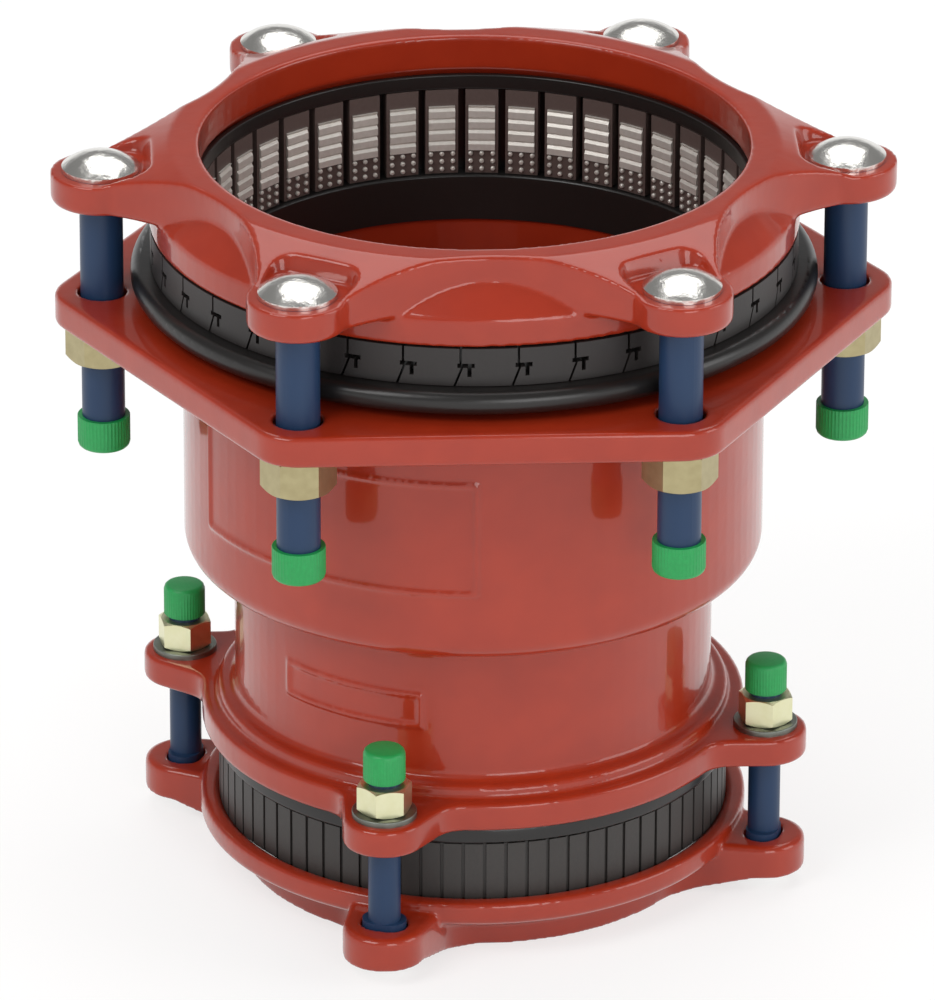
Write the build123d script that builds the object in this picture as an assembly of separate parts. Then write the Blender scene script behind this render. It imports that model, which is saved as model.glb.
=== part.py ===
from build123d import *
import os
from math import asin, atan2, cos, degrees, hypot, pi, radians, sin, tan

# A reducing coupling that joins two plain pipe ends of different size.
# Sizes are in millimetres. Z is the axis of both pipes, and Z 0 is the foot of the lower clamp ring.

# Clearances
RUNNING = 0.05
FACE_GAP = 0.05
SOFT_GAP = 0.3
HOLE_CLEARANCE = 1.0
NECK_CLEARANCE = 0.5
HEAD_MARGIN = 1.6

# Heights of what is stacked along the axis, from the foot up
LOWER_RING_HEIGHT = 24.0
LOWER_SEAL_GAP = 29.5
LOWER_FLANGE_THICKNESS = 11.0
BODY_HEIGHT = 175.5
UPPER_FLANGE_THICKNESS = 12.0
UPPER_SEAL_GAP = 26.8
UPPER_RING_HEIGHT = 31.2

# Bolts and nuts of the upper end
UPPER_BOLT_COUNT = 6
UPPER_BOLT_SET_OUT = 2.5
UPPER_BOLT_DIAMETER = 16.0
UPPER_HEAD_DIAMETER = 28.7
UPPER_HEAD_HEIGHT = 7.2
UPPER_NECK_LENGTH = 22.0
UPPER_NUT_FLATS = 24.0
UPPER_NUT_HEIGHT = 14.8
UPPER_SHANK_SHOWN = 23.0
UPPER_CAP_HEIGHT = 12.5

# Bolts, nuts and washers of the lower end
LOWER_BOLT_COUNT = 4
LOWER_BOLT_TURN = -19.2
LOWER_BOLT_SET_OUT = 5.0
LOWER_BOLT_DIAMETER = 12.0
LOWER_HEAD_DIAMETER = 21.0
LOWER_HEAD_HEIGHT = 5.0
LOWER_NECK_LENGTH = 16.5
LOWER_NECK_SHOWN = 2.0
LOWER_NUT_FLATS = 18.0
LOWER_NUT_HEIGHT = 10.8
LOWER_WASHER_DIAMETER = 24.0
LOWER_WASHER_THICKNESS = 2.2
LOWER_THREAD_SHOWN = 1.8
LOWER_CAP_HEIGHT = 12.0
CAP_WALL = 1.6

# Body casting
BARREL_DIAMETER = 216.0
BARREL_WALL = 7.5
BARREL_LENGTH = 90.0
SHOULDER_ROUND = 8.0
SHOULDER_DROP = 6.0
NECK_DIAMETER = 179.0
NECK_WALL = 8.0
HUB_DIAMETER = 192.0
HUB_HEIGHT = 4.5
REDUCER_LENGTH = 24.0
UPPER_FLANGE_CORNER = 17.5
UPPER_SEAT_DEPTH = 16.0
UPPER_SEAT_WIDTH = 12.5
LOWER_FLANGE_DIAMETER = 204.0
LOWER_FLANGE_EAR = 15.5
LOWER_FLANGE_ROOT = 44.0
LOWER_FLANGE_WEB = 12.0
LOWER_SEAT_DEPTH = 14.0
LOWER_SEAT_WIDTH = 10.5
PANEL_FRAME = 1.6
PANEL_RISE = 1.0
BARREL_PANEL_ANGLE = 65.0
BARREL_PANEL_MIDDLE = -34.2
BARREL_PANEL_HEIGHT = 45.0
BARREL_PANEL_DROP = 20.0
NECK_PANEL_ANGLE = 38.0
NECK_PANEL_MIDDLE = -33.8
NECK_PANEL_HEIGHT = 14.0
NECK_PANEL_RISE = 24.5

# Upper clamp ring
UPPER_RING_PLAY = 0.9
UPPER_CROWN_WALL = 8.1
UPPER_RIM_WIDTH = 19.5
UPPER_RIM_HEIGHT = 10.8
UPPER_SKIRT_HEIGHT = 21.5
UPPER_EAR_START = 9.8
UPPER_EAR_THICKNESS = 11.7
UPPER_EAR_TIP = 18.5
UPPER_SCALLOP_RADIUS = 90.0
UPPER_MOUTH_WALL = 3.5
UPPER_THROAT_HEIGHT = 18.2

# Lower clamp ring
LOWER_RING_SET_IN = 0.5
LOWER_CROWN_WALL = 7.0
LOWER_RIM_WIDTH = 21.5
LOWER_RIM_HEIGHT = 8.0
LOWER_SKIRT_HEIGHT = 16.0
LOWER_EAR_START = 4.2
LOWER_EAR_THICKNESS = 12.8
LOWER_EAR_TIP = 15.5
LOWER_EAR_ROOT = 40.0
LOWER_EAR_WEB = 16.0
LOWER_MOUTH_WALL = 5.5
LOWER_THROAT_HEIGHT = 15.0

# Rubber seal and grips of the upper end
UPPER_SEAL_PROUD = 1.0
BEAD_PROUD = 7.0
BEAD_HEIGHT = 9.0
BEAD_LIFT = 2.7
GRIP_SHELF = 2.0
GRIP_COUNT = 42
GRIP_SPACE = 2.74
GRIP_TOP_GAP = 1.7
GRIP_DEPTH = 5.8
GRIP_STAND_OFF = 1.7
PLATE_SIDE = 1.2
PLATE_HEIGHT = 18.0
PLATE_THICKNESS = 2.4
PLATE_PROUD = 1.0
PLATE_TOP = 6.5
PLATE_TOOTH_COUNT = 4
TOOTH_DEPTH = 0.7
LINK_COUNT = 36
LINK_DEPTH = 4.0
LINK_SET_BACK = 0.3
LINK_SLOT = 1.3
LINK_HOOK = 4.0

# Rubber seal and ribbed band of the lower end
LOWER_SEAL_PROUD = 1.5
LIP_DIAMETER = 194.0
LIP_HEIGHT = 7.5
BAND_DIAMETER = 191.6
BAND_THICKNESS = 2.2
BAND_RIB_COUNT = 76
BAND_GROOVE = 1.3
BAND_GROOVE_DEPTH = 1.1

# Heights that follow
LOWER_RIM_FACE = LOWER_RING_HEIGHT
LOWER_FLANGE_FACE = LOWER_RIM_FACE + LOWER_SEAL_GAP
LOWER_NUT_FACE = LOWER_FLANGE_FACE + LOWER_FLANGE_THICKNESS
UPPER_FLANGE_FACE = LOWER_FLANGE_FACE + BODY_HEIGHT
UPPER_NUT_FACE = UPPER_FLANGE_FACE - UPPER_FLANGE_THICKNESS
UPPER_RIM_FACE = UPPER_FLANGE_FACE + UPPER_SEAL_GAP
UPPER_HEAD_SEAT = UPPER_RIM_FACE + UPPER_EAR_START + UPPER_EAR_THICKNESS
LOWER_HEAD_SEAT = LOWER_RIM_FACE - LOWER_EAR_START - LOWER_EAR_THICKNESS
UPPER_NUT_FOOT = UPPER_NUT_FACE - FACE_GAP - UPPER_NUT_HEIGHT
LOWER_NUT_FOOT = LOWER_NUT_FACE + LOWER_WASHER_THICKNESS + FACE_GAP
UPPER_CAP_FOOT = UPPER_NUT_FOOT - UPPER_SHANK_SHOWN - UPPER_CAP_HEIGHT
LOWER_CAP_FOOT = LOWER_NUT_FOOT + LOWER_NUT_HEIGHT + LOWER_THREAD_SHOWN
UPPER_BOLT_END = UPPER_CAP_FOOT + CAP_WALL + RUNNING
LOWER_BOLT_END = LOWER_CAP_FOOT + LOWER_CAP_HEIGHT - CAP_WALL - RUNNING

# Radii that follow
UPPER_BORE_RADIUS = BARREL_DIAMETER / 2 - BARREL_WALL
LOWER_BORE_RADIUS = NECK_DIAMETER / 2 - NECK_WALL
LOWER_RIM_DIAMETER = 2 * (LOWER_BORE_RADIUS + LOWER_RIM_WIDTH)
LOWER_RING_BORE = 2 * (LOWER_BORE_RADIUS - LOWER_RING_SET_IN)
LOWER_SEAL_BORE = 2 * (LOWER_BORE_RADIUS - LOWER_SEAL_PROUD)
LOWER_BOLT_CIRCLE = LOWER_RIM_DIAMETER + LOWER_BOLT_DIAMETER + 2 * LOWER_BOLT_SET_OUT
UPPER_RIM_RADIUS = UPPER_BORE_RADIUS + UPPER_RIM_WIDTH
UPPER_RIM_DIAMETER = 2 * UPPER_RIM_RADIUS
UPPER_RING_BORE = 2 * (UPPER_BORE_RADIUS + UPPER_RING_PLAY)
UPPER_SEAL_BORE = 2 * (UPPER_BORE_RADIUS - UPPER_SEAL_PROUD)
BEAD_DIAMETER = UPPER_RIM_DIAMETER + 2 * BEAD_PROUD
UPPER_BOLT_CIRCLE = BEAD_DIAMETER + UPPER_BOLT_DIAMETER + 2 * UPPER_BOLT_SET_OUT
GRIP_WIDTH = 2 * pi * (UPPER_SEAL_BORE / 2 + GRIP_STAND_OFF) / GRIP_COUNT - GRIP_SPACE
PLATE_WIDTH = GRIP_WIDTH - 2 * PLATE_SIDE
LINK_RADIUS = UPPER_RIM_RADIUS - LINK_SET_BACK


def corner_limit(before, corner, after):
    """The largest rounding that a corner's two sides leave room for."""
    one = (before[0] - corner[0], before[1] - corner[1])
    two = (after[0] - corner[0], after[1] - corner[1])
    turn = abs(atan2(one[0] * two[1] - one[1] * two[0], one[0] * two[0] + one[1] * two[1]))
    return 0.45 * min(hypot(*one), hypot(*two)) * tan(turn / 2)


def turned(*outline):
    """A solid of revolution from its half section, given as (radius, height, corner rounding)."""
    points = [(radius, height) for radius, height, _ in outline]
    section = make_face(Polyline(*points, close=True))
    for place, (radius, height, rounding) in enumerate(outline):
        if rounding:
            after = points[(place + 1) % len(points)]
            limit = corner_limit(points[place - 1], points[place], after)
            corner = section.vertices().sort_by_distance((radius, height, 0))[0]
            section = fillet(corner, min(rounding, limit))
    return revolve(Plane.XZ * section, Axis.Z)


def angles(count, start=0.0):
    """The angles of things that are spaced evenly round the axis, in degrees."""
    return [start + 360.0 / count * place for place in range(count)]


def bolt_places(count, start, circle, height):
    """The places of the bolts on their circle, each with its X axis pointing outwards."""
    return [Rot(0, 0, angle) * Pos(circle / 2, 0, height) for angle in angles(count, start)]


def eared_outline(disc, circle, tip, root, web, count, start):
    """A disc with an ear at each bolt: round at its tip, wider at its root and webbed into the disc."""
    root_line = Pos(disc - web / 2, 0) * Rectangle(1.0, root)
    tip_circle = Pos(circle / 2, 0) * Circle(tip)
    ear = make_hull(root_line.edges() + tip_circle.edges())
    outline = Circle(disc) + [Rot(0, 0, angle) * ear for angle in angles(count, start)]
    corners = [v for v in outline.vertices() if abs(hypot(v.X, v.Y) - disc) < 0.01]
    return fillet(corners, web)


def oval_neck(width, length, height):
    """The oval neck that stops a bolt from turning in its ear, long across the radius."""
    return extrude(Rot(0, 0, 90) * SlotOverall(length, width), height)


def scalloped_outline(waist, scallop, circle, tip, count):
    """A disc cut in by a wide scallop between each two bolts, with a round tip at each bolt."""
    outline = Circle(circle / 2)
    for angle in angles(count, 180.0 / count):
        outline -= Rot(0, 0, angle) * Pos(waist + scallop, 0) * Circle(scallop)
    outline += [Rot(0, 0, angle) * Pos(circle / 2, 0) * Circle(tip) for angle in angles(count)]
    return fillet([v for v in outline.vertices() if hypot(v.X, v.Y) < circle / 2], tip / 3)


def clamp_ring(outline, height, bore, crown_wall, rim, rim_height, skirt, ear_start, ear_thickness, tip,
               mouth_wall, throat, bolts, circle, bolt, neck, head):
    """A clamp ring with its rim face down at height 0, its crown up, and an ear at angle 0."""
    crown = bore / 2 + crown_wall
    pad = ear_start + ear_thickness
    crest = crown + 2.5
    foot = circle / 2 + tip / 8
    rim_radius = rim / 2
    blank = turned((0, 0, 0), (rim_radius, 0, 1.5), (rim_radius, rim_height, 2.5), (crown, skirt, 2),
                   (crown, height, 1.8), (0, height, 0))
    lugs = Pos(0, 0, ear_start) * extrude(outline, height - ear_start)
    lugs = fillet(lugs.edges().group_by(Axis.Z)[0], 2.5)
    beyond = circle / 2 + 2 * tip
    lugs -= turned((crest, height, 0), (foot, pad, 6), (beyond, pad, 0), (beyond, height + 1, 0),
                   (crest, height + 1, 0))
    reach = head / 2 + HEAD_MARGIN
    pocket = Pos(tip - reach / 2, 0) * Rectangle(2 * tip + reach, 2 * reach)
    pocket = fillet(pocket.vertices().group_by(Axis.X)[0], reach / 3)
    pocket = extrude(pocket, height - pad + 1, taper=-20)
    hole = oval_neck(bolt + 2 * NECK_CLEARANCE, neck + 2 * NECK_CLEARANCE, height)
    ring = blank + lugs
    for place in bolt_places(bolts, 0.0, circle, 0):
        ring -= place * Pos(0, 0, pad) * pocket
        ring -= place * hole
    mouth = rim_radius - mouth_wall
    return ring - turned((0, -1, 0), (mouth, -1, 0), (mouth, 0, 0), (bore / 2, throat, 0),
                         (bore / 2, height + 1, 0), (0, height + 1, 0))


def upper_clamp_ring():
    """The six-eared ring that presses the upper seal onto the larger pipe."""
    waist = UPPER_RING_BORE / 2 + UPPER_CROWN_WALL
    outline = scalloped_outline(waist, UPPER_SCALLOP_RADIUS, UPPER_BOLT_CIRCLE, UPPER_EAR_TIP,
                                UPPER_BOLT_COUNT)
    ring = clamp_ring(
        outline, UPPER_RING_HEIGHT, UPPER_RING_BORE, UPPER_CROWN_WALL, UPPER_RIM_DIAMETER,
        UPPER_RIM_HEIGHT, UPPER_SKIRT_HEIGHT, UPPER_EAR_START, UPPER_EAR_THICKNESS, UPPER_EAR_TIP,
        UPPER_MOUTH_WALL, UPPER_THROAT_HEIGHT, UPPER_BOLT_COUNT, UPPER_BOLT_CIRCLE, UPPER_BOLT_DIAMETER,
        UPPER_NECK_LENGTH, UPPER_HEAD_DIAMETER)
    return Pos(0, 0, UPPER_RIM_FACE) * ring


def lower_clamp_ring():
    """The four-eared ring that presses the lower seal onto the smaller pipe, crown down."""
    outline = eared_outline(LOWER_RING_BORE / 2 + LOWER_CROWN_WALL, LOWER_BOLT_CIRCLE, LOWER_EAR_TIP,
                            LOWER_EAR_ROOT, LOWER_EAR_WEB, LOWER_BOLT_COUNT, 0.0)
    ring = clamp_ring(
        outline, LOWER_RING_HEIGHT, LOWER_RING_BORE, LOWER_CROWN_WALL, LOWER_RIM_DIAMETER,
        LOWER_RIM_HEIGHT, LOWER_SKIRT_HEIGHT, LOWER_EAR_START, LOWER_EAR_THICKNESS, LOWER_EAR_TIP,
        LOWER_MOUTH_WALL, LOWER_THROAT_HEIGHT, LOWER_BOLT_COUNT, LOWER_BOLT_CIRCLE, LOWER_BOLT_DIAMETER,
        LOWER_NECK_LENGTH, LOWER_HEAD_DIAMETER)
    return Pos(0, 0, LOWER_RIM_FACE) * Rot(0, 0, LOWER_BOLT_TURN) * mirror(ring, Plane.XY)


def cup_head_bolt(diameter, head, head_height, neck, neck_depth, length):
    """A bolt with a low domed head above height 0, and its neck and shank below it."""
    edge = head_height / 4
    dome = ThreePointArc((0, head_height), (head * 0.29, edge + (head_height - edge) * 0.66),
                         (head / 2, edge))
    half = make_face([dome, Polyline((head / 2, edge), (head / 2, 0), (0, 0), (0, head_height))])
    shank = turned((0, 0, 0), (0, -length, 0), (diameter / 2 - 1, -length, 0),
                   (diameter / 2, 1 - length, 0), (diameter / 2, 0, 0))
    collar = Pos(0, 0, -neck_depth) * oval_neck(diameter, neck, neck_depth)
    return revolve(Plane.XZ * half, Axis.Z) + collar + shank


def end_cap(diameter, height):
    """A moulded cap, open end at height 0, that covers the thread's end."""
    inner = diameter / 2 + RUNNING
    outer = inner + CAP_WALL
    return turned((inner, 0, 0), (outer, 0, 0.4), (outer, height, 1.6), (0, height, 0),
                  (0, height - CAP_WALL, 0), (inner, height - CAP_WALL, 0))


def nut(flats, height, diameter):
    """A hexagon nut, chamfered at both ends."""
    corner = flats / 2 / cos(radians(30))
    bevel = (corner - flats / 2 * 0.97) * tan(radians(30))
    envelope = turned((0, 0, 0), (flats / 2 * 0.97, 0, 0), (corner, bevel, 0), (corner, height - bevel, 0),
                      (flats / 2 * 0.97, height, 0), (0, height, 0))
    prism = extrude(RegularPolygon(flats / 2, 6, major_radius=False), height)
    bore = Cylinder(diameter / 2 + RUNNING, height, align=(Align.CENTER, Align.CENTER, Align.MIN))
    return (prism & envelope) - bore


def upper_bolts():
    """Six bolts, heads up on the ears of the upper ring."""
    bolt = cup_head_bolt(UPPER_BOLT_DIAMETER, UPPER_HEAD_DIAMETER, UPPER_HEAD_HEIGHT, UPPER_NECK_LENGTH,
                         UPPER_EAR_THICKNESS - 1, UPPER_HEAD_SEAT - UPPER_BOLT_END)
    places = bolt_places(UPPER_BOLT_COUNT, 0.0, UPPER_BOLT_CIRCLE, UPPER_HEAD_SEAT)
    return [place * bolt for place in places]


def upper_bolt_caps():
    """The caps on the lower ends of the upper bolts, open end up."""
    cap = Pos(0, 0, UPPER_CAP_HEIGHT) * mirror(end_cap(UPPER_BOLT_DIAMETER, UPPER_CAP_HEIGHT), Plane.XY)
    return [place * cap for place in bolt_places(UPPER_BOLT_COUNT, 0.0, UPPER_BOLT_CIRCLE, UPPER_CAP_FOOT)]


def upper_nuts():
    """The nuts under the body's upper flange."""
    one = nut(UPPER_NUT_FLATS, UPPER_NUT_HEIGHT, UPPER_BOLT_DIAMETER)
    return [place * one for place in bolt_places(UPPER_BOLT_COUNT, 0.0, UPPER_BOLT_CIRCLE, UPPER_NUT_FOOT)]


def lower_places(height):
    """The places of the lower bolts at a height."""
    return bolt_places(LOWER_BOLT_COUNT, LOWER_BOLT_TURN, LOWER_BOLT_CIRCLE, height)


def lower_bolts():
    """Four bolts, heads down under the ears of the lower ring."""
    bolt = cup_head_bolt(LOWER_BOLT_DIAMETER, LOWER_HEAD_DIAMETER, LOWER_HEAD_HEIGHT, LOWER_NECK_LENGTH,
                         LOWER_EAR_THICKNESS + LOWER_NECK_SHOWN, LOWER_BOLT_END - LOWER_HEAD_SEAT)
    bolt = mirror(bolt, Plane.XY)
    return [place * bolt for place in lower_places(LOWER_HEAD_SEAT)]


def lower_bolt_caps():
    """The caps on the upper ends of the lower bolts."""
    cap = end_cap(LOWER_BOLT_DIAMETER, LOWER_CAP_HEIGHT)
    return [place * cap for place in lower_places(LOWER_CAP_FOOT)]


def lower_washers():
    """The washers on the ears of the body's lower flange."""
    hole = LOWER_BOLT_DIAMETER / 2 + HOLE_CLEARANCE / 2
    outer = LOWER_WASHER_DIAMETER / 2
    top = LOWER_WASHER_THICKNESS
    washer = turned((hole, 0, 0), (outer, 0, 0), (outer, top, 0.5), (hole, top, 0))
    return [place * washer for place in lower_places(LOWER_NUT_FACE)]


def lower_nuts():
    """The nuts on the washers of the lower end."""
    one = nut(LOWER_NUT_FLATS, LOWER_NUT_HEIGHT, LOWER_BOLT_DIAMETER)
    return [place * one for place in lower_places(LOWER_NUT_FOOT)]


def ring_sector(inner, outer, foot, top, first, last):
    """A piece of a ring between two angles, which are counted from the front."""
    section = make_face(Polyline((inner, foot), (outer, foot), (outer, top), (inner, top), close=True))
    return Rot(0, 0, first - 90) * revolve(Plane.XZ * section, Axis.Z, last - first)


def panel_frame(radius, middle, spread, foot, height):
    """The narrow raised frame of a cast panel, which is bare inside."""
    inner, outer = radius - 1, radius + PANEL_RISE
    first, last = middle - spread / 2, middle + spread / 2
    side = degrees(asin(PANEL_FRAME / radius))
    top = foot + height
    bars = ring_sector(inner, outer, foot, foot + PANEL_FRAME, first, last)
    bars += ring_sector(inner, outer, top - PANEL_FRAME, top, first, last)
    bars += ring_sector(inner, outer, foot, top, first, first + side)
    return bars + ring_sector(inner, outer, foot, top, last - side, last)


def upper_flange():
    """The six-cornered flange, with a rounded corner round each bolt."""
    apothem = UPPER_BOLT_CIRCLE / 2 * cos(pi / UPPER_BOLT_COUNT) + UPPER_FLANGE_CORNER
    outline = RegularPolygon(apothem, UPPER_BOLT_COUNT, major_radius=False)
    outline = fillet(outline.vertices(), UPPER_FLANGE_CORNER)
    plate = Pos(0, 0, UPPER_NUT_FACE) * extrude(outline, UPPER_FLANGE_THICKNESS)
    return fillet(plate.edges().filter_by(Plane.XY), 1.6)


def lower_flange():
    """The round flange with four ears at the foot of the body."""
    outline = eared_outline(LOWER_FLANGE_DIAMETER / 2, LOWER_BOLT_CIRCLE, LOWER_FLANGE_EAR,
                            LOWER_FLANGE_ROOT, LOWER_FLANGE_WEB, LOWER_BOLT_COUNT, LOWER_BOLT_TURN)
    plate = Pos(0, 0, LOWER_FLANGE_FACE) * extrude(outline, LOWER_FLANGE_THICKNESS)
    return fillet(plate.edges().filter_by(Plane.XY), 1.6)


def coupling_body():
    """The cast body: flange, barrel, shoulder, neck and lower flange in one piece."""
    barrel, neck, hub = BARREL_DIAMETER / 2, NECK_DIAMETER / 2, HUB_DIAMETER / 2
    shoulder = UPPER_NUT_FACE - BARREL_LENGTH
    hub_top = LOWER_NUT_FACE + HUB_HEIGHT
    under = UPPER_NUT_FACE + 1
    body = turned((0, LOWER_FLANGE_FACE + 1, 0), (hub, LOWER_FLANGE_FACE + 1, 0), (hub, hub_top, 2),
                  (neck, hub_top, 5), (neck, shoulder - SHOULDER_DROP, 5),
                  (barrel, shoulder, SHOULDER_ROUND),
                  (barrel, UPPER_NUT_FACE, 6), (barrel + 9, UPPER_NUT_FACE, 0), (barrel + 9, under, 0),
                  (0, under, 0))
    body += upper_flange()
    body += lower_flange()
    body += panel_frame(barrel, BARREL_PANEL_MIDDLE, BARREL_PANEL_ANGLE,
                        UPPER_NUT_FACE - BARREL_PANEL_DROP - BARREL_PANEL_HEIGHT, BARREL_PANEL_HEIGHT)
    body += panel_frame(neck, NECK_PANEL_MIDDLE, NECK_PANEL_ANGLE, LOWER_NUT_FACE + NECK_PANEL_RISE,
                        NECK_PANEL_HEIGHT)
    seat, foot_seat = UPPER_BORE_RADIUS + UPPER_SEAT_WIDTH, LOWER_BORE_RADIUS + LOWER_SEAT_WIDTH
    reducer_foot = shoulder - REDUCER_LENGTH / 2
    body -= turned((0, LOWER_FLANGE_FACE - 1, 0), (foot_seat, LOWER_FLANGE_FACE - 1, 0),
                   (foot_seat, LOWER_FLANGE_FACE, 0),
                   (LOWER_BORE_RADIUS, LOWER_FLANGE_FACE + LOWER_SEAT_DEPTH, 0),
                   (LOWER_BORE_RADIUS, reducer_foot, 6),
                   (UPPER_BORE_RADIUS, reducer_foot + REDUCER_LENGTH, 8),
                   (UPPER_BORE_RADIUS, UPPER_FLANGE_FACE - UPPER_SEAT_DEPTH, 0), (seat, UPPER_FLANGE_FACE, 0),
                   (seat, UPPER_FLANGE_FACE + 1, 0), (0, UPPER_FLANGE_FACE + 1, 0))
    upper_hole = Cylinder(UPPER_BOLT_DIAMETER / 2 + HOLE_CLEARANCE, 3 * UPPER_FLANGE_THICKNESS)
    for place in bolt_places(UPPER_BOLT_COUNT, 0.0, UPPER_BOLT_CIRCLE, UPPER_NUT_FACE):
        body -= place * upper_hole
    lower_hole = Cylinder(LOWER_BOLT_DIAMETER / 2 + HOLE_CLEARANCE, 3 * LOWER_FLANGE_THICKNESS)
    for place in lower_places(LOWER_NUT_FACE):
        body -= place * lower_hole
    return body


def cone_height(radius):
    """The height of the upper ring's inner cone over the flange face, at a radius."""
    bore, mouth = UPPER_RING_BORE / 2, UPPER_RIM_RADIUS - UPPER_MOUTH_WALL
    return UPPER_SEAL_GAP + (mouth - radius) * UPPER_THROAT_HEIGHT / (mouth - bore)


def grip_top():
    """The height of the grips' tops over the flange face, under the ring's cone and the seal's lip."""
    corner = hypot(UPPER_SEAL_BORE / 2 + GRIP_STAND_OFF + GRIP_DEPTH, GRIP_WIDTH / 2)
    return cone_height(corner) - GRIP_TOP_GAP


def upper_seal():
    """The upper rubber ring: a wedge in the seat, a shelf under the grips, a lip over them and a bead."""
    bore, bead = UPPER_SEAL_BORE / 2, BEAD_DIAMETER / 2
    seat = UPPER_BORE_RADIUS + UPPER_SEAT_WIDTH - SOFT_GAP
    face = bore + GRIP_STAND_OFF
    back = hypot(face + GRIP_DEPTH, GRIP_WIDTH / 2) + SOFT_GAP
    outside = LINK_RADIUS - LINK_DEPTH - SOFT_GAP
    bead_top = BEAD_LIFT + BEAD_HEIGHT
    over = grip_top() + SOFT_GAP
    seal = turned((bore, -UPPER_SEAT_DEPTH, 0), (bore, GRIP_SHELF, 1), (back, GRIP_SHELF, 0), (back, over, 0),
                  (face, over, 0.5), (face, cone_height(face + 2) - 2 * SOFT_GAP, 0.5),
                  (face + 2, cone_height(face + 2) - 2 * SOFT_GAP, 0),
                  (outside, cone_height(outside) - 2 * SOFT_GAP, 0), (outside, bead_top, 0),
                  (bead, bead_top, BEAD_HEIGHT / 2), (bead, BEAD_LIFT, BEAD_HEIGHT / 2),
                  (seat + 3, BEAD_LIFT, 0), (seat, 0, 0),
                  (UPPER_BORE_RADIUS - SOFT_GAP, -UPPER_SEAT_DEPTH, 0))
    return Pos(0, 0, UPPER_FLANGE_FACE) * seal


def plate_outline(inner, back, foot):
    """The toothed side view of a grip plate: radius and height."""
    pitch = PLATE_HEIGHT / PLATE_TOOTH_COUNT
    points = [(back, foot), (inner, foot)]
    for tooth in range(PLATE_TOOTH_COUNT):
        points.append((inner, foot + pitch * (tooth + 0.55)))
        points.append((inner + TOOTH_DEPTH, foot + pitch * (tooth + 0.8)))
        points.append((inner, foot + pitch * (tooth + 1)))
    points.append((back, foot + PLATE_HEIGHT))
    return points


def grip_values():
    """The grips' inner face, the plates' inner face and back, and the plates' foot."""
    face = UPPER_SEAL_BORE / 2 + GRIP_STAND_OFF
    foot = grip_top() - PLATE_TOP - PLATE_HEIGHT
    return face, face - PLATE_PROUD, face - PLATE_PROUD + PLATE_THICKNESS, foot


def upper_grip_carriers():
    """The moulded carriers that stand round the larger pipe, each with a seat for its plate."""
    face, _, back, foot = grip_values()
    height = grip_top() - GRIP_SHELF - SOFT_GAP
    corner = (Align.MIN, Align.CENTER, Align.MIN)
    block = Pos(face, 0, GRIP_SHELF + SOFT_GAP) * Box(GRIP_DEPTH, GRIP_WIDTH, height, align=corner)
    seat = Pos(face - 1, 0, foot) * Box(back - face + 1, PLATE_WIDTH, PLATE_HEIGHT, align=corner)
    carrier = Pos(0, 0, UPPER_FLANGE_FACE) * (block - seat)
    return [Rot(0, 0, angle) * carrier for angle in angles(GRIP_COUNT)]


def upper_grip_plates():
    """The toothed steel plates that bite into the larger pipe."""
    _, inner, back, foot = grip_values()
    side = make_face(Polyline(*plate_outline(inner, back, foot), close=True))
    plate = extrude(Plane.XZ * side, PLATE_WIDTH / 2, both=True)
    plate = Pos(0, 0, UPPER_FLANGE_FACE) * plate
    return [Rot(0, 0, angle) * plate for angle in angles(GRIP_COUNT)]


def upper_link_chain():
    """The chain of hooked links between the bead and the upper ring."""
    foot = BEAD_LIFT + BEAD_HEIGHT + SOFT_GAP
    height = UPPER_SEAL_GAP - SOFT_GAP - foot
    step = height * 0.58
    hook_foot = height * 0.42
    path = [(0, height + 1), (0, step), (LINK_HOOK, step), (LINK_HOOK, hook_foot), (0, height * 0.2), (0, -1)]
    left = [(x, z - (LINK_SLOT if 0 < place < 4 else 0)) for place, (x, z) in enumerate(path)]
    right = [(x + LINK_SLOT, z) for x, z in path]
    slot = make_face(Polyline(*left, *reversed(right), close=True))
    blade = Plane(origin=(LINK_RADIUS - 2 * LINK_DEPTH, 0, 0), x_dir=(0, 1, 0), z_dir=(1, 0, 0))
    cutter = blade * extrude(slot, 3 * LINK_DEPTH)
    pitch = 360.0 / LINK_COUNT
    stretch = ring_sector(LINK_RADIUS - LINK_DEPTH, LINK_RADIUS, 0, height, -pitch, pitch)
    stretch = Rot(0, 0, 90) * stretch - Rot(0, 0, -pitch / 2) * cutter - Rot(0, 0, pitch / 2) * cutter
    link = max(stretch.solids(), key=lambda solid: solid.volume)
    link = Pos(0, 0, UPPER_FLANGE_FACE + foot) * link
    return [Rot(0, 0, angle) * link for angle in angles(LINK_COUNT)]


def lower_mouth():
    """The radius of the lower ring's inner cone at its rim face."""
    return LOWER_RIM_DIAMETER / 2 - LOWER_MOUTH_WALL


def lower_slope():
    """How much the lower ring's inner cone narrows in a millimetre of depth."""
    return (lower_mouth() - LOWER_RING_BORE / 2) / LOWER_THROAT_HEIGHT


def lower_seal():
    """The lower rubber ring: a wedge in the body's seat, a lip under the flange and a heel in the ring."""
    bore, lip = LOWER_SEAL_BORE / 2, LIP_DIAMETER / 2
    seat = LOWER_BORE_RADIUS + LOWER_SEAT_WIDTH - SOFT_GAP
    core = BAND_DIAMETER / 2 - BAND_THICKNESS - SOFT_GAP
    top = LOWER_FLANGE_FACE + LOWER_SEAT_DEPTH - SOFT_GAP
    face = LOWER_FLANGE_FACE - SOFT_GAP
    heel = LOWER_RIM_FACE - (lower_mouth() - core - 2 * SOFT_GAP) / lower_slope()
    toe = LOWER_RIM_FACE - LOWER_THROAT_HEIGHT + 2
    return turned((bore, toe, 0), (core - (heel - toe) * lower_slope(), toe, 0), (core, heel, 0),
                  (core, face - LIP_HEIGHT, 0), (lip, face - LIP_HEIGHT, 2), (lip, face, 3), (seat, face, 0),
                  (LOWER_BORE_RADIUS - SOFT_GAP, top, 0), (bore, top, 0))


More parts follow.
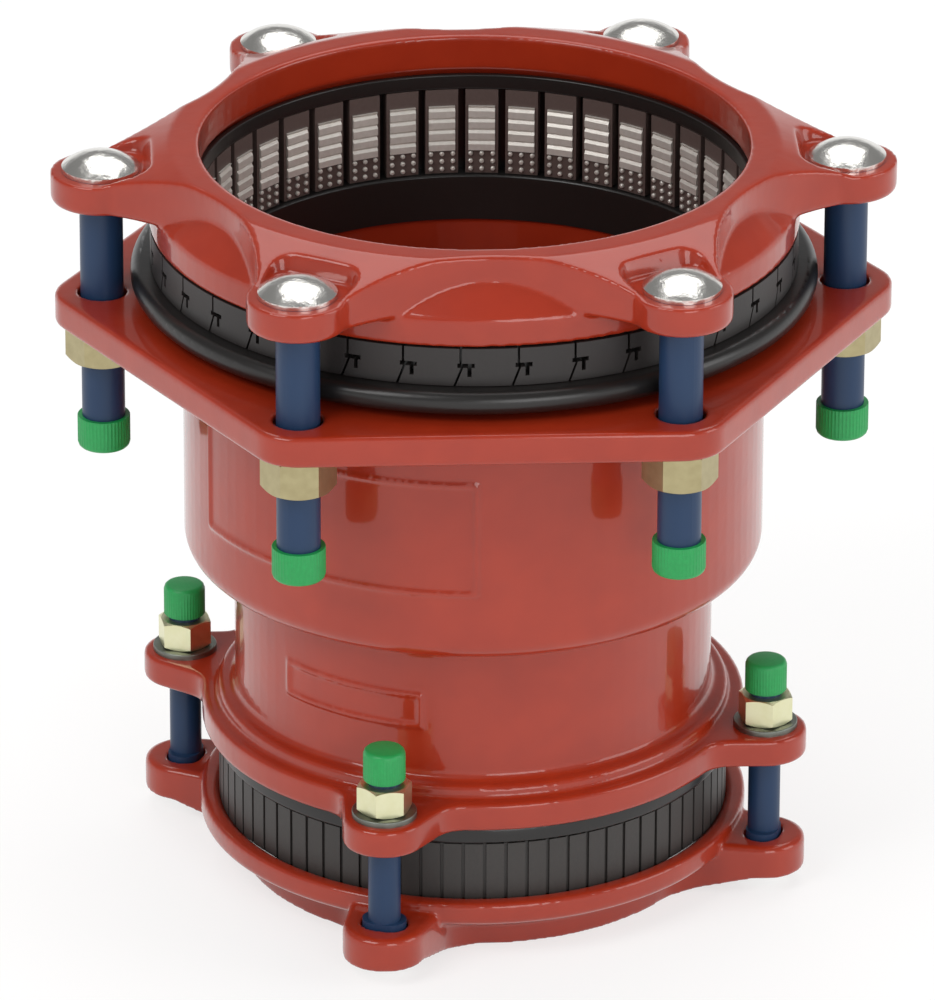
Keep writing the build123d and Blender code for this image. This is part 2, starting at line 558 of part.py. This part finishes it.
def lower_ribbed_band():
    """The ribbed plastic band round the lower seal."""
    outer = BAND_DIAMETER / 2
    foot = LOWER_RIM_FACE - (lower_mouth() - outer - SOFT_GAP) / lower_slope()
    top = LOWER_FLANGE_FACE - LIP_HEIGHT - 2 * SOFT_GAP
    half_groove = degrees(BAND_GROOVE / outer) / 2
    points = []
    for angle in angles(BAND_RIB_COUNT):
        step = 360.0 / BAND_RIB_COUNT - half_groove
        deep = outer - BAND_GROOVE_DEPTH
        for radius, turn in ((deep, angle - half_groove), (deep, angle + half_groove),
                             (outer, angle + half_groove), (outer, angle + step)):
            points.append((radius * cos(radians(turn)), radius * sin(radians(turn))))
    ribs = make_face(Polyline(*points, close=True)) - Circle(outer - BAND_THICKNESS)
    return Pos(0, 0, foot) * extrude(ribs, top - foot)


def write(name, pieces):
    """One file for each named piece, or for a group of like pieces."""
    pieces = pieces if isinstance(pieces, list) else [pieces]
    solids = [solid for piece in pieces for solid in piece.solids()]
    export_step(solids[0] if len(solids) == 1 else Compound(children=solids), f"parts/{name}.step")


os.makedirs("parts", exist_ok=True)
write("coupling_body", coupling_body())
write("upper_clamp_ring", upper_clamp_ring())
write("upper_bolts", upper_bolts())
write("upper_bolt_caps", upper_bolt_caps())
for number, one in enumerate(upper_nuts(), start=1):
    write(f"upper_nut_{number}", one)
write("upper_seal", upper_seal())
write("upper_link_chain", upper_link_chain())
write("upper_grip_carriers", upper_grip_carriers())
write("upper_grip_plates", upper_grip_plates())
write("lower_clamp_ring", lower_clamp_ring())
write("lower_bolts", lower_bolts())
write("lower_bolt_caps", lower_bolt_caps())
for number, one in enumerate(lower_nuts(), start=1):
    write(f"lower_nut_{number}", one)
write("lower_washers", lower_washers())
write("lower_seal", lower_seal())
write("lower_ribbed_band", lower_ribbed_band())
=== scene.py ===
from math import cos, pi, radians, sin

import bmesh
import bpy
from mathutils import Matrix, Vector


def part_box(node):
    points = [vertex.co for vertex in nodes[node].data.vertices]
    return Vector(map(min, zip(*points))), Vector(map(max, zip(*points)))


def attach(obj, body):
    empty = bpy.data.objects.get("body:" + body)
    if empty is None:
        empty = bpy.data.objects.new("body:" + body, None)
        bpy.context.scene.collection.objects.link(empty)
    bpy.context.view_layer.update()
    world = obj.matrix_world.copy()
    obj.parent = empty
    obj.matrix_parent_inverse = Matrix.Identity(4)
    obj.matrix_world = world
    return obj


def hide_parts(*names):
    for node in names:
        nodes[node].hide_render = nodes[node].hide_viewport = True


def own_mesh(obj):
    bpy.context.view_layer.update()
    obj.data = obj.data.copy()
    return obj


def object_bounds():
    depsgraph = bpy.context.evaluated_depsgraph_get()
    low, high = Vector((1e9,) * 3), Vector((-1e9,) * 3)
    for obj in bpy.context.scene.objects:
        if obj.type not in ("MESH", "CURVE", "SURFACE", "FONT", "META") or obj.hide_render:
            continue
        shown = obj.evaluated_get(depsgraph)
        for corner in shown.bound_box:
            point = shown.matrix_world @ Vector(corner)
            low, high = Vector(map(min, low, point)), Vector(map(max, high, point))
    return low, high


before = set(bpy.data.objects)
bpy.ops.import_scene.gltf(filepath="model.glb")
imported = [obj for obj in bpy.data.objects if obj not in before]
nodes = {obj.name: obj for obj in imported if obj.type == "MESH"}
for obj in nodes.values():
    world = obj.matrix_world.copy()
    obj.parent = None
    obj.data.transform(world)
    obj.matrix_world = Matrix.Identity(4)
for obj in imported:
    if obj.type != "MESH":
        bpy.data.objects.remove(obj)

cad_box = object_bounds()


# ---------------------------------------------------------------------------
# The camera stands where the photograph was taken from: well back, a little
# above the upper ring and a little to the left of the front.
# ---------------------------------------------------------------------------
VIEW_TURN = radians(-2.75)
VIEW_RISE = radians(24.663)
VIEW_DISTANCE = 3.7105
VIEW_TARGET = Vector((0, 0, 0.14119))
VIEW_ROLL = radians(0.185)
LENS_MM = 357.6
FRAME_HEIGHT_MM = 36
FRAME_SHIFT = -0.00589

towards_camera = Vector((sin(VIEW_TURN) * cos(VIEW_RISE), -cos(VIEW_TURN) * cos(VIEW_RISE), sin(VIEW_RISE)))
bpy.ops.object.camera_add(location=VIEW_TARGET + VIEW_DISTANCE * towards_camera)
camera = bpy.context.object
camera.name = "photo_camera"
camera.data.sensor_fit = "VERTICAL"
camera.data.sensor_height = FRAME_HEIGHT_MM
camera.data.lens = LENS_MM
camera.data.shift_x = FRAME_SHIFT
level_view = (-towards_camera).to_track_quat("-Z", "Y").to_matrix().to_4x4()
camera.matrix_world = Matrix.Translation(camera.location) @ level_view @ Matrix.Rotation(VIEW_ROLL, 4, "Z")
bpy.context.scene.camera = camera
bpy.context.scene.view_settings.view_transform = "Standard"


# ---------------------------------------------------------------------------
# The studio: a white floor that keeps the coupling's soft shadow, a white
# surround under a darker ceiling, and four large soft lamps.
# ---------------------------------------------------------------------------
def linear(hex_colour):
    """An sRGB hex colour as the linear colour that a shader takes."""
    channels = [int(hex_colour[i:i + 2], 16) / 255 for i in (1, 3, 5)]
    return [c / 12.92 if c <= 0.04045 else ((c + 0.055) / 1.055) ** 2.4 for c in channels] + [1.0]


def add_node(tree, kind, settings=None, links=None):
    """Adds a node, sets its properties and sockets, and links its inputs to other nodes' outputs."""
    node = tree.nodes.new(kind)
    for name, value in (settings or {}).items():
        if hasattr(node, name) and name not in node.inputs:
            setattr(node, name, value)
        else:
            node.inputs[name].default_value = value
    for name, source in (links or {}).items():
        tree.links.new(source, node.inputs[name])
    return node


def empty_material(name):
    """A new material and its node tree, with nothing in it yet."""
    material = bpy.data.materials.new(name)
    material.use_nodes = True
    material.node_tree.nodes.clear()
    return material, material.node_tree


WHITE_FLOOR = "#FAFAF9"
PAPER_GLOW = 0.68
FLOOR_SIZE = 8.0
SURROUND_LIGHT = 0.55
CEILING_SHINE = 0.22
BACKDROP_ENDS = 0.12
CEILING_STARTS = 0.34
LAMPS = {
    "key_lamp": ((-1.5, -1.3, 2.1), 1.4, 30),
    "front_lamp": ((0.7, -2.3, 0.9), 1.1, 14),
    "side_lamp": ((2.0, -0.6, 1.0), 1.2, 12),
    "overhead_lamp": ((0.1, 0.8, 2.2), 1.8, 20),
}

bpy.ops.mesh.primitive_plane_add(size=FLOOR_SIZE, location=(0, 0, cad_box[0][2]))
floor = bpy.context.object
floor.name = "studio_floor"
paper, tree = empty_material("white_studio_paper")
matte = add_node(tree, "ShaderNodeBsdfDiffuse", {"Color": linear(WHITE_FLOOR)})
glow = add_node(tree, "ShaderNodeEmission", {"Color": linear("#FFFFFF"), "Strength": 1.0})
path = add_node(tree, "ShaderNodeLightPath")
seen = add_node(tree, "ShaderNodeMath", {"operation": "MAXIMUM"},
                {0: path.outputs["Is Camera Ray"], 1: path.outputs["Is Glossy Ray"]})
seen_too = add_node(tree, "ShaderNodeMath", {"operation": "MAXIMUM"},
                    {0: seen.outputs[0], 1: path.outputs["Is Transmission Ray"]})
share = add_node(tree, "ShaderNodeMath", {"operation": "MULTIPLY"}, {0: seen_too.outputs[0]})
share.inputs[1].default_value = PAPER_GLOW
paper_mix = add_node(tree, "ShaderNodeMixShader", None,
                     {0: share.outputs[0], 1: matte.outputs[0], 2: glow.outputs[0]})
add_node(tree, "ShaderNodeOutputMaterial", None, {"Surface": paper_mix.outputs[0]})
floor.data.materials.append(paper)

world = bpy.data.worlds.new("white_surround")
bpy.context.scene.world = world
world.use_nodes = True
tree = world.node_tree
tree.nodes.clear()
path = add_node(tree, "ShaderNodeLightPath")
mirrored = add_node(tree, "ShaderNodeMath", {"operation": "MAXIMUM"},
                    {0: path.outputs["Is Glossy Ray"], 1: path.outputs["Is Transmission Ray"]})
heading = add_node(tree, "ShaderNodeTexCoord")
height = add_node(tree, "ShaderNodeSeparateXYZ", None, {"Vector": heading.outputs["Generated"]})
backdrop = add_node(tree, "ShaderNodeMapRange",
                    {"From Min": BACKDROP_ENDS, "From Max": CEILING_STARTS, "To Min": 1.0,
                     "To Max": CEILING_SHINE},
                    {"Value": height.outputs["Z"]})
lit = add_node(tree, "ShaderNodeMix", {"data_type": "FLOAT"},
               {"Factor": mirrored.outputs[0], 3: backdrop.outputs["Result"]})
lit.inputs[2].default_value = SURROUND_LIGHT
strength = add_node(tree, "ShaderNodeMath", {"operation": "MAXIMUM"},
                    {0: lit.outputs[0], 1: path.outputs["Is Camera Ray"]})
surround = add_node(tree, "ShaderNodeBackground", {"Color": linear("#FFFFFF")},
                    {"Strength": strength.outputs[0]})
add_node(tree, "ShaderNodeOutputWorld", None, {"Surface": surround.outputs[0]})

for name, (place, size, power) in LAMPS.items():
    bpy.ops.object.light_add(type="AREA", location=place)
    lamp = bpy.context.object
    lamp.name = name
    lamp.data.shape = "SQUARE"
    lamp.data.size = size
    lamp.data.energy = power
    lamp.rotation_euler = (VIEW_TARGET - Vector(place)).to_track_quat("-Z", "Y").to_euler()


# ---------------------------------------------------------------------------
# The three castings: body, upper clamp ring and lower clamp ring. Each is
# poured in ductile iron, shot blasted and dipped in red epoxy powder, which
# melts into a thick gloss coat and rounds every edge.
# ---------------------------------------------------------------------------
EPOXY_RED = "#A02F15"
EPOXY_RED_THIN = "#8F2611"
ORANGE_PEEL_MM = 2.2
MOULD_WAVE_MM = 14.0


def epoxy_coat():
    """Powder coat on cast iron: a gloss film with a faint orange peel over the sand mould's slow waves."""
    material, tree = empty_material("red_epoxy_powder_coat_on_ductile_iron")
    place = add_node(tree, "ShaderNodeTexCoord")
    wave = add_node(tree, "ShaderNodeTexNoise", {"Scale": 1000 / MOULD_WAVE_MM, "Detail": 2.0},
                    {"Vector": place.outputs["Object"]})
    peel = add_node(tree, "ShaderNodeTexNoise", {"Scale": 1000 / ORANGE_PEEL_MM, "Detail": 2.0},
                    {"Vector": place.outputs["Object"]})
    colour = add_node(tree, "ShaderNodeMix", {"data_type": "RGBA"}, {"Factor": wave.outputs["Fac"]})
    colour.inputs[6].default_value = linear(EPOXY_RED_THIN)
    colour.inputs[7].default_value = linear(EPOXY_RED)
    slow = add_node(tree, "ShaderNodeBump", {"Strength": 0.35, "Distance": 0.0006},
                    {"Height": wave.outputs["Fac"]})
    fine = add_node(tree, "ShaderNodeBump", {"Strength": 0.25, "Distance": 0.0001},
                    {"Height": peel.outputs["Fac"], "Normal": slow.outputs["Normal"]})
    shader = add_node(tree, "ShaderNodeBsdfPrincipled",
                      {"Roughness": 0.35, "Specular IOR Level": 0.2, "Coat Weight": 0.8,
                       "Coat Roughness": 0.07},
                      {"Base Color": colour.outputs[2], "Normal": fine.outputs["Normal"]})
    add_node(tree, "ShaderNodeOutputMaterial", None, {"Surface": shader.outputs[0]})
    return material


epoxy = epoxy_coat()
CASTINGS = {
    "body_casting": ("coupling_body", "housing"),
    "upper_ring_casting": ("upper_clamp_ring", "upper_ring"),
    "lower_ring_casting": ("lower_clamp_ring", "lower_ring"),
}
COAT_GRAIN = 0.0009
MOST_TRIANGLES = 190000
SMOOTHINGS = 7
SHARP_IN_COAT = 50
SHARP_IN_CAD = 30
SHARP_IN_CAPS = 40
SHARP_IN_CHAIN = 20
MERGE_WITHIN = 0.000002


def pick(piece):
    """Makes a piece the only one selected, and the active one."""
    bpy.ops.object.select_all(action="DESELECT")
    piece.select_set(True)
    bpy.context.view_layer.objects.active = piece


def copy_of(node, name):
    """A free copy of a CAD node's mesh, with its doubled corners merged."""
    piece = bpy.data.objects.new(name, nodes[node].data.copy())
    bpy.context.scene.collection.objects.link(piece)
    piece.data.materials.clear()
    pick(piece)
    bpy.ops.object.mode_set(mode="EDIT")
    bpy.ops.mesh.select_all(action="SELECT")
    bpy.ops.mesh.remove_doubles(threshold=MERGE_WITHIN)
    bpy.ops.mesh.customdata_custom_splitnormals_clear()
    bpy.ops.object.mode_set(mode="OBJECT")
    return piece


def finish_modifier(piece, kind, **settings):
    """Adds a modifier and applies it."""
    bpy.context.view_layer.objects.active = piece
    modifier = piece.modifiers.new(kind.lower(), kind)
    for name, value in settings.items():
        setattr(modifier, name, value)
    bpy.ops.object.modifier_apply(modifier=modifier.name)


for name, (node, body) in CASTINGS.items():
    casting = copy_of(node, name)
    pattern = copy_of(node, name + "_pattern")
    finish_modifier(casting, "REMESH", mode="VOXEL", voxel_size=COAT_GRAIN, use_smooth_shade=True)
    finish_modifier(casting, "SHRINKWRAP", target=pattern, wrap_method="NEAREST_SURFACEPOINT")
    finish_modifier(casting, "SMOOTH", factor=0.5, iterations=SMOOTHINGS)
    bpy.data.objects.remove(pattern)
    triangles = 2 * len(casting.data.polygons)
    if triangles > MOST_TRIANGLES:
        finish_modifier(casting, "DECIMATE", ratio=MOST_TRIANGLES / triangles)
    pick(casting)
    bpy.ops.object.shade_smooth_by_angle(angle=radians(SHARP_IN_COAT))
    casting.data.materials.append(epoxy)
    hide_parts(node)
    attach(casting, body)


# ---------------------------------------------------------------------------
# Ten bolts of forged steel: a domed cup head, bright where the blue coating
# stops, an oval neck and a plain blue shank that ends in the cap.
# ---------------------------------------------------------------------------
SHANK_BLUE = "#1D3554"
HEAD_BRIGHT = "#E9E7E2"
HEAD_MOTTLES_PER_METRE = 220.0
UPPER_HEADS_FROM = 0.2774
LOWER_HEADS_TO = 0.0069


def coated_bolt_steel(name, head_low, head_high):
    """Bolt steel whose shank has a dry blue film and whose head, between two heights, is bright."""
    material, tree = empty_material(name)
    place = add_node(tree, "ShaderNodeTexCoord")
    height = add_node(tree, "ShaderNodeSeparateXYZ", None, {"Vector": place.outputs["Object"]})
    above = add_node(tree, "ShaderNodeMath", {"operation": "GREATER_THAN"}, {0: height.outputs["Z"]})
    above.inputs[1].default_value = head_low
    below = add_node(tree, "ShaderNodeMath", {"operation": "LESS_THAN"}, {0: height.outputs["Z"]})
    below.inputs[1].default_value = head_high
    head = add_node(tree, "ShaderNodeMath", {"operation": "MULTIPLY"},
                    {0: above.outputs[0], 1: below.outputs[0]})
    mottle = add_node(tree, "ShaderNodeTexNoise", {"Scale": HEAD_MOTTLES_PER_METRE, "Detail": 3.0},
                      {"Vector": place.outputs["Object"]})
    film = add_node(tree, "ShaderNodeBsdfPrincipled",
                    {"Base Color": linear(SHANK_BLUE), "Roughness": 0.4, "Specular IOR Level": 0.35})
    dents = add_node(tree, "ShaderNodeBump", {"Strength": 0.35, "Distance": 0.0008},
                     {"Height": mottle.outputs["Fac"]})
    bright = add_node(tree, "ShaderNodeBsdfPrincipled",
                      {"Base Color": linear(HEAD_BRIGHT), "Roughness": 0.22, "Metallic": 1.0},
                      {"Normal": dents.outputs["Normal"]})
    both = add_node(tree, "ShaderNodeMixShader", None,
                    {0: head.outputs[0], 1: film.outputs[0], 2: bright.outputs[0]})
    add_node(tree, "ShaderNodeOutputMaterial", None, {"Surface": both.outputs[0]})
    return material


def finish_node(node, material):
    """Gives a CAD node its finish."""
    nodes[node].data.materials.clear()
    nodes[node].data.materials.append(material)


finish_node("upper_bolts", coated_bolt_steel(
    "blue_coated_bolt_steel_bright_heads_up", UPPER_HEADS_FROM, 1.0))
finish_node("lower_bolts", coated_bolt_steel(
    "blue_coated_bolt_steel_bright_heads_down", -1.0, LOWER_HEADS_TO))


# ---------------------------------------------------------------------------
# Ten hexagon nuts and four washers of cold formed steel. The nuts are plated
# with pale yellow zinc; the washers are plain grey steel. The upper nuts get a
# darker copy of the zinc as painted shade, because they sit in shade under the
# upper flange. The lower nuts get a lighter copy as painted light.
# ---------------------------------------------------------------------------
# The darker upper-nut zinc colours are painted shade; the lighter lower-nut zinc colours are painted light.
ZINC_SHADED_DARKER = "#A0946F"
ZINC_SHADED_LIGHTER = "#BAAF88"
ZINC_LIT_DARKER = "#DBD9AC"
ZINC_LIT_LIGHTER = "#E8E7C6"
WASHER_GREY = "#747972"
WASHER_WORN = "#8E938B"


def rolled_metal(name, dark, light, roughness, mottle_mm, metallic=1.0):
    """Plain or plated steel with the faint cloudiness that plating leaves."""
    material, tree = empty_material(name)
    place = add_node(tree, "ShaderNodeTexCoord")
    cloud = add_node(tree, "ShaderNodeTexNoise", {"Scale": 1000 / mottle_mm, "Detail": 3.0},
                     {"Vector": place.outputs["Object"]})
    colour = add_node(tree, "ShaderNodeMix", {"data_type": "RGBA"}, {"Factor": cloud.outputs["Fac"]})
    colour.inputs[6].default_value = linear(dark)
    colour.inputs[7].default_value = linear(light)
    grain = add_node(tree, "ShaderNodeBump", {"Strength": 0.2, "Distance": 0.0002},
                     {"Height": cloud.outputs["Fac"]})
    shader = add_node(tree, "ShaderNodeBsdfPrincipled", {"Roughness": roughness, "Metallic": metallic},
                      {"Base Color": colour.outputs[2], "Normal": grain.outputs["Normal"]})
    add_node(tree, "ShaderNodeOutputMaterial", None, {"Surface": shader.outputs[0]})
    return material


# One zinc in two copies: darker on the upper nuts as painted shade, lighter on the lower nuts as painted
# light.
shaded_zinc = rolled_metal("zinc_plated_steel_painted_shade", ZINC_SHADED_DARKER, ZINC_SHADED_LIGHTER, 0.34, 4.0)
lit_zinc = rolled_metal("zinc_plated_steel_painted_light", ZINC_LIT_DARKER, ZINC_LIT_LIGHTER, 0.34, 4.0)
for node in nodes:
    if node.startswith("upper_nut"):
        finish_node(node, shaded_zinc)
    if node.startswith("lower_nut"):
        finish_node(node, lit_zinc)
finish_node("lower_washers", rolled_metal("plain_rolled_washer_steel", WASHER_GREY, WASHER_WORN, 0.42, 3.0))


# ---------------------------------------------------------------------------
# The green end caps: thin moulded polyethylene, pushed over the threads, with
# fine grip ribs down the side.
# ---------------------------------------------------------------------------
CAP_GREEN = "#17934A"


def moulded(name, colour, roughness, grain_mm):
    """Moulded plastic or rubber of one colour, with a fine sparked mould grain."""
    material, tree = empty_material(name)
    place = add_node(tree, "ShaderNodeTexCoord")
    cloud = add_node(tree, "ShaderNodeTexNoise", {"Scale": 1000 / grain_mm, "Detail": 3.0},
                     {"Vector": place.outputs["Object"]})
    shade = add_node(tree, "ShaderNodeMix", {"data_type": "RGBA"}, {"Factor": cloud.outputs["Fac"]})
    shade.inputs[6].default_value = [c * 0.85 for c in linear(colour)[:3]] + [1.0]
    shade.inputs[7].default_value = [min(1, c * 1.12) for c in linear(colour)[:3]] + [1.0]
    grain = add_node(tree, "ShaderNodeBump", {"Strength": 0.2, "Distance": 0.0002},
                     {"Height": cloud.outputs["Fac"]})
    shader = add_node(tree, "ShaderNodeBsdfPrincipled",
                      {"Roughness": roughness, "Specular IOR Level": 0.5},
                      {"Base Color": shade.outputs[2], "Normal": grain.outputs["Normal"]})
    add_node(tree, "ShaderNodeOutputMaterial", None, {"Surface": shader.outputs[0]})
    return material


def face_edit(piece, wanted):
    """Opens a mesh for editing with only the faces that the test wants selected."""
    pick(piece)
    bpy.ops.object.mode_set(mode="EDIT")
    bpy.ops.mesh.select_mode(type="FACE")
    bpy.ops.mesh.select_all(action="DESELECT")
    mesh = bmesh.from_edit_mesh(piece.data)
    for face in mesh.faces:
        face.select_set(bool(wanted(face)))
    bmesh.update_edit_mesh(piece.data)


def leave_edit():
    """Goes back to object mode."""
    bpy.ops.object.mode_set(mode="OBJECT")


CAP_RIBS = 44
CAP_WALL = 0.0016
RIB_HEIGHT = 0.00015
RIB_GAP = 0.00018
CROWN_ROUND = 0.0016
SAME_HEIGHT = 0.0001
LEAST_RIB_AREA = 0.000004


def end_cap(name, bore_radius, low, high, open_end):
    """A cup on the axis with fine ribs and a rounded crown, open at its low (-1) or high (1) end."""
    radius, depth = bore_radius + CAP_WALL, high - low
    bpy.ops.mesh.primitive_cylinder_add(vertices=2 * CAP_RIBS, radius=radius, depth=depth,
                                        location=(0, 0, (low + high) / 2))
    cap = bpy.context.object
    cap.name = name
    bpy.ops.object.transform_apply(location=True, rotation=True, scale=True)
    face_edit(cap, lambda face: face.normal.z * open_end > 0.9)
    bpy.ops.mesh.inset(thickness=CAP_WALL)
    inward = -open_end * (depth - CAP_WALL)
    bpy.ops.mesh.extrude_region_move(TRANSFORM_OT_translate={"value": (0, 0, inward)})
    leave_edit()
    crown = low if open_end > 0 else high
    face_edit(cap, lambda face: face.normal.z * open_end < -0.9
              and abs(face.calc_center_median().z - crown) < SAME_HEIGHT)
    bpy.ops.mesh.bevel(offset=CROWN_ROUND, segments=3, profile=0.5)
    leave_edit()
    face_edit(cap, lambda face: abs(face.normal.z) < 0.1 and face.calc_area() > LEAST_RIB_AREA
              and (face.calc_center_median().xy.length > radius * 0.98) and face.index % 2)
    bpy.ops.mesh.inset(thickness=RIB_GAP, use_individual=True)
    bpy.ops.transform.shrink_fatten(value=RIB_HEIGHT)
    leave_edit()
    bpy.ops.object.shade_smooth_by_angle(angle=radians(SHARP_IN_CAPS))
    return cap


cap_plastic = moulded("green_moulded_polyethylene", CAP_GREEN, 0.42, 1.5)
UPPER_CIRCLE = 0.1375
LOWER_CIRCLE = 0.114
LOWER_TURN = -19.2
UPPER_CAP_BORE = 0.00805
LOWER_CAP_BORE = 0.00605
UPPER_PLACES = [(UPPER_CIRCLE, 60.0 * turn) for turn in range(6)]
LOWER_PLACES = [(LOWER_CIRCLE, 90.0 * turn + LOWER_TURN) for turn in range(4)]
for end, node, body, radius, places, open_end in (
        ("upper", "upper_bolt_caps", "upper_ring", UPPER_CAP_BORE, UPPER_PLACES, 1),
        ("lower", "lower_bolt_caps", "lower_ring", LOWER_CAP_BORE, LOWER_PLACES, -1)):
    low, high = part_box(node)[0].z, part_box(node)[1].z
    first = end_cap(end + "_end_cap_1", radius, low, high, open_end)
    first.data.materials.append(cap_plastic)
    for number, (circle, turn) in enumerate(places, 1):
        cap = first if number == len(places) else first.copy()
        if cap is not first:
            cap.data = first.data.copy()
            bpy.context.scene.collection.objects.link(cap)
        cap.name = f"{end}_end_cap_{number}"
        place = (circle * cos(radians(turn)), circle * sin(radians(turn)), 0)
        cap.data.transform(Matrix.Translation(place))
        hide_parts(node)
        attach(cap, body)


# ---------------------------------------------------------------------------
# The soft stacks between the flanges: rubber seals, hooked links, grips with
# toothed steel plates, and the ribbed band.
# ---------------------------------------------------------------------------
RUBBER_BLACK = "#1D1B1A"
PLASTIC_BLACK = "#262221"
CARRIER_BROWN = "#554743"
BAND_GREY = "#34312F"
PLATE_BRIGHT = "#E2DED7"
PLATE_DULL = "#CBC5BD"
UPPER_FLANGE_FACE = 0.229
LOWER_FLANGE_FACE = 0.0535
UPPER_SQUEEZE = 0.475
LOWER_SQUEEZE = 0.58
rubber = moulded("black_moulded_rubber", RUBBER_BLACK, 0.3, 2.0)
black_plastic = moulded("black_glass_filled_plastic", PLASTIC_BLACK, 0.45, 1.2)
carrier_plastic = moulded("brown_black_carrier_plastic", CARRIER_BROWN, 0.45, 1.2)
band_plastic = moulded("dark_grey_ribbed_band_plastic", BAND_GREY, 0.5, 1.2)
plate_steel = rolled_metal("bright_toothed_grip_steel", PLATE_DULL, PLATE_BRIGHT, 0.5, 2.0, 0.55)
UPPER_STACK = ("upper_ring_travel", UPPER_FLANGE_FACE, UPPER_SQUEEZE)
LOWER_STACK = ("lower_ring_travel", LOWER_FLANGE_FACE, LOWER_SQUEEZE)
SOFT_STACK = {
    "upper_seal": (rubber, UPPER_STACK, "black_rubber"),
    "upper_grip_carriers": (carrier_plastic, UPPER_STACK, "black_plastic"),
    "upper_grip_plates": (plate_steel, UPPER_STACK, "grip_steel"),
    "lower_seal": (rubber, LOWER_STACK, "black_rubber"),
    "lower_ribbed_band": (band_plastic, LOWER_STACK, "black_plastic"),
}
for node, (material, (joint, face, keep), slot) in SOFT_STACK.items():
    piece = copy_of(node, node + "_moulding")
    bpy.ops.object.shade_smooth_by_angle(angle=radians(SHARP_IN_CAD))
    piece.data.materials.append(material)
    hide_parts(node)
    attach(piece, "housing")
    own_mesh(piece)


# ---------------------------------------------------------------------------
# The chain of thirty-six links between the bead and the upper ring. Each link
# hooks into the next: a slit from the top, a notch shaped like a seven, and a
# slanted slit to the foot.
# ---------------------------------------------------------------------------
LINKS = 36
LINK_DEPTH = 0.004
SLIT = 0.0009
NOTCH_LEFT, NOTCH_RIGHT = -0.0012, 0.005
NOTCH_HIGH, NOTCH_LOW = 0.0088, 0.0071
LEG_LEFT, LEG_RIGHT, LEG_LOW = 0.0024, 0.0039, 0.0036
SLANT_LEFT = -0.0034
link_low, link_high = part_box("upper_link_chain")
chain_radius = link_high.x - 0.00002
link_height = link_high.z - link_low.z
bpy.ops.mesh.primitive_cylinder_add(vertices=8 * LINKS, radius=chain_radius, depth=link_height,
                                    end_fill_type="NOTHING",
                                    location=(0, 0, (link_low.z + link_high.z) / 2))
chain = bpy.context.object
chain.name = "upper_hooked_links"
bpy.ops.object.transform_apply(location=True, rotation=True, scale=True)
finish_modifier(chain, "SOLIDIFY", thickness=LINK_DEPTH, offset=-1.0)

CUT_PAST = 0.002
hook_outline = [
    (-SLIT / 2, link_height + CUT_PAST), (-SLIT / 2, NOTCH_HIGH),
    (NOTCH_LEFT, NOTCH_HIGH), (NOTCH_LEFT, NOTCH_LOW), (0.0, NOTCH_LOW),
    (SLANT_LEFT, -CUT_PAST), (SLANT_LEFT + SLIT, -CUT_PAST), (SLIT, NOTCH_LOW),
    (LEG_LEFT, NOTCH_LOW), (LEG_LEFT, LEG_LOW), (LEG_RIGHT, LEG_LOW), (LEG_RIGHT, NOTCH_LOW),
    (NOTCH_RIGHT, NOTCH_LOW), (NOTCH_RIGHT, NOTCH_HIGH),
    (SLIT / 2, NOTCH_HIGH), (SLIT / 2, link_height + CUT_PAST),
]
blades = bmesh.new()
near, far = chain_radius - LINK_DEPTH - CUT_PAST, chain_radius + CUT_PAST
for link in range(LINKS):
    turn = Matrix.Rotation(2 * pi * (link + 0.5) / LINKS, 4, "Z")
    rings = [[blades.verts.new(turn @ Vector((radius, across, link_low.z + up)))
              for across, up in hook_outline] for radius in (near, far)]
    blades.faces.new(reversed(rings[0]))
    blades.faces.new(rings[1])
    for here in range(len(hook_outline)):
        there = (here + 1) % len(hook_outline)
        blades.faces.new((rings[0][here], rings[0][there], rings[1][there], rings[1][here]))
bmesh.ops.recalc_face_normals(blades, faces=blades.faces)
cutter = bpy.data.objects.new("link_hook_cutter", bpy.data.meshes.new("link_hook_cutter"))
blades.to_mesh(cutter.data)
blades.free()
bpy.context.scene.collection.objects.link(cutter)
finish_modifier(chain, "BOOLEAN", operation="DIFFERENCE", solver="EXACT", object=cutter)
bpy.data.objects.remove(cutter)
pick(chain)
bpy.ops.object.shade_smooth_by_angle(angle=radians(SHARP_IN_CHAIN))
chain.data.materials.clear()
chain.data.materials.append(black_plastic)
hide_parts("upper_link_chain")
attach(chain, "housing")
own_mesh(chain)


# ---------------------------------------------------------------------------
# Rows of small steel points stand below each toothed plate, three abreast.
# They bite into the pipe with the plate.
# ---------------------------------------------------------------------------
POINT_RADIUS = 0.0009
POINT_PROUD = 0.0007
POINT_STEP_ACROSS = 0.0042
POINT_STEP_UP = 0.0031
POINT_ROWS = 3
GRIPS = 42
carrier_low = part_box("upper_grip_carriers")[0].z
GRIP_FACE = 0.1012
FIRST_ROW_UP = 0.0019
bpy.ops.object.select_all(action="DESELECT")
bpy.ops.mesh.primitive_cylinder_add(vertices=8, radius=POINT_RADIUS, depth=2 * POINT_PROUD,
                                    rotation=(0, pi / 2, 0), location=(0, 0, 0))
point = bpy.context.object
point.name = "upper_grip_points"
bpy.ops.object.transform_apply(location=True, rotation=True, scale=True)
face_edit(point, lambda face: face.normal.x < -0.9)
bpy.ops.mesh.inset(thickness=POINT_RADIUS * 0.4, depth=POINT_RADIUS * 0.4)
leave_edit()
one = point.data.copy()
rows = bmesh.new()
for grip in range(GRIPS):
    for across in (-1, 0, 1):
        for row in range(POINT_ROWS):
            place = (Matrix.Rotation(2 * pi * grip / GRIPS, 4, "Z")
                     @ Matrix.Translation((GRIP_FACE, across * POINT_STEP_ACROSS,
                                           carrier_low + FIRST_ROW_UP + row * POINT_STEP_UP)))
            copied = one.copy()
            copied.transform(place)
            rows.from_mesh(copied)
            bpy.data.meshes.remove(copied)
rows.to_mesh(point.data)
rows.free()
point.data.materials.append(plate_steel)
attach(point, "housing")
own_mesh(point)
